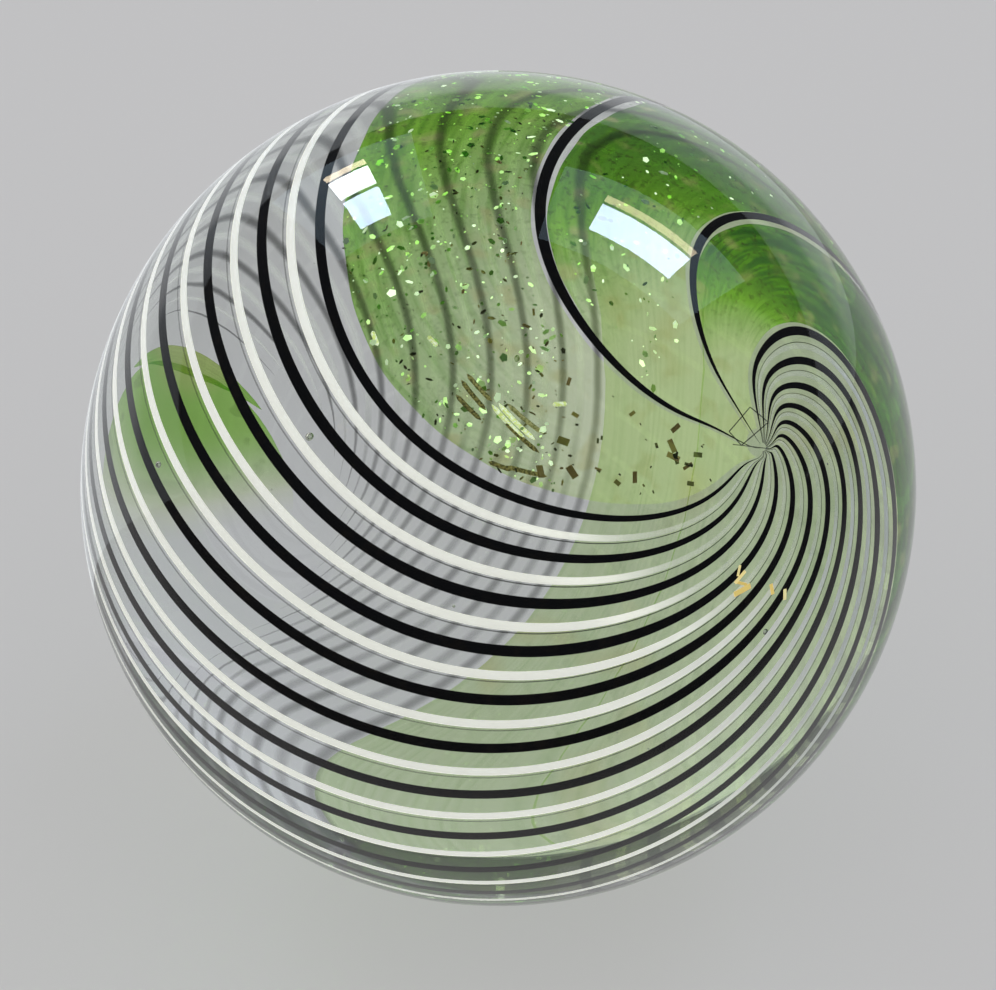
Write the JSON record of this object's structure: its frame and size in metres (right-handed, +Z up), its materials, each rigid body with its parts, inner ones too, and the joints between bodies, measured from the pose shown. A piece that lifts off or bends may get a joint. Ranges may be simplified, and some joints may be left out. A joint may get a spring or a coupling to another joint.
{
  "type": "glass marble",
  "caption": "Solid clear glass ball for play or display, with twisted black and white canes and a flecked green panel sealed inside, and a small ground spot to rest on.",
  "frame": {"origin": "middle of the small flat spot on the underside, on the surface the marble rests on", "axes": "+Z up through the ball's centre; the pole where the canes meet faces +X, -Y and up"},
  "size_m": [0.042, 0.042, 0.0419],
  "materials": {
    "clear_glass": "clear fire-polished glass with the faintest green",
    "black_cane": "opaque black glass cane, fused under the surface",
    "white_cane": "opaque white glass cane, fused under the surface",
    "green_glass": "transparent leaf-green glass, deeper where it lies thick",
    "metal_fleck": "bright metallic flecks caught in the green glass"
  },
  "bodies": {
    "root": {"glass_ball": "clear_glass"}
  },
  "joints": []
}
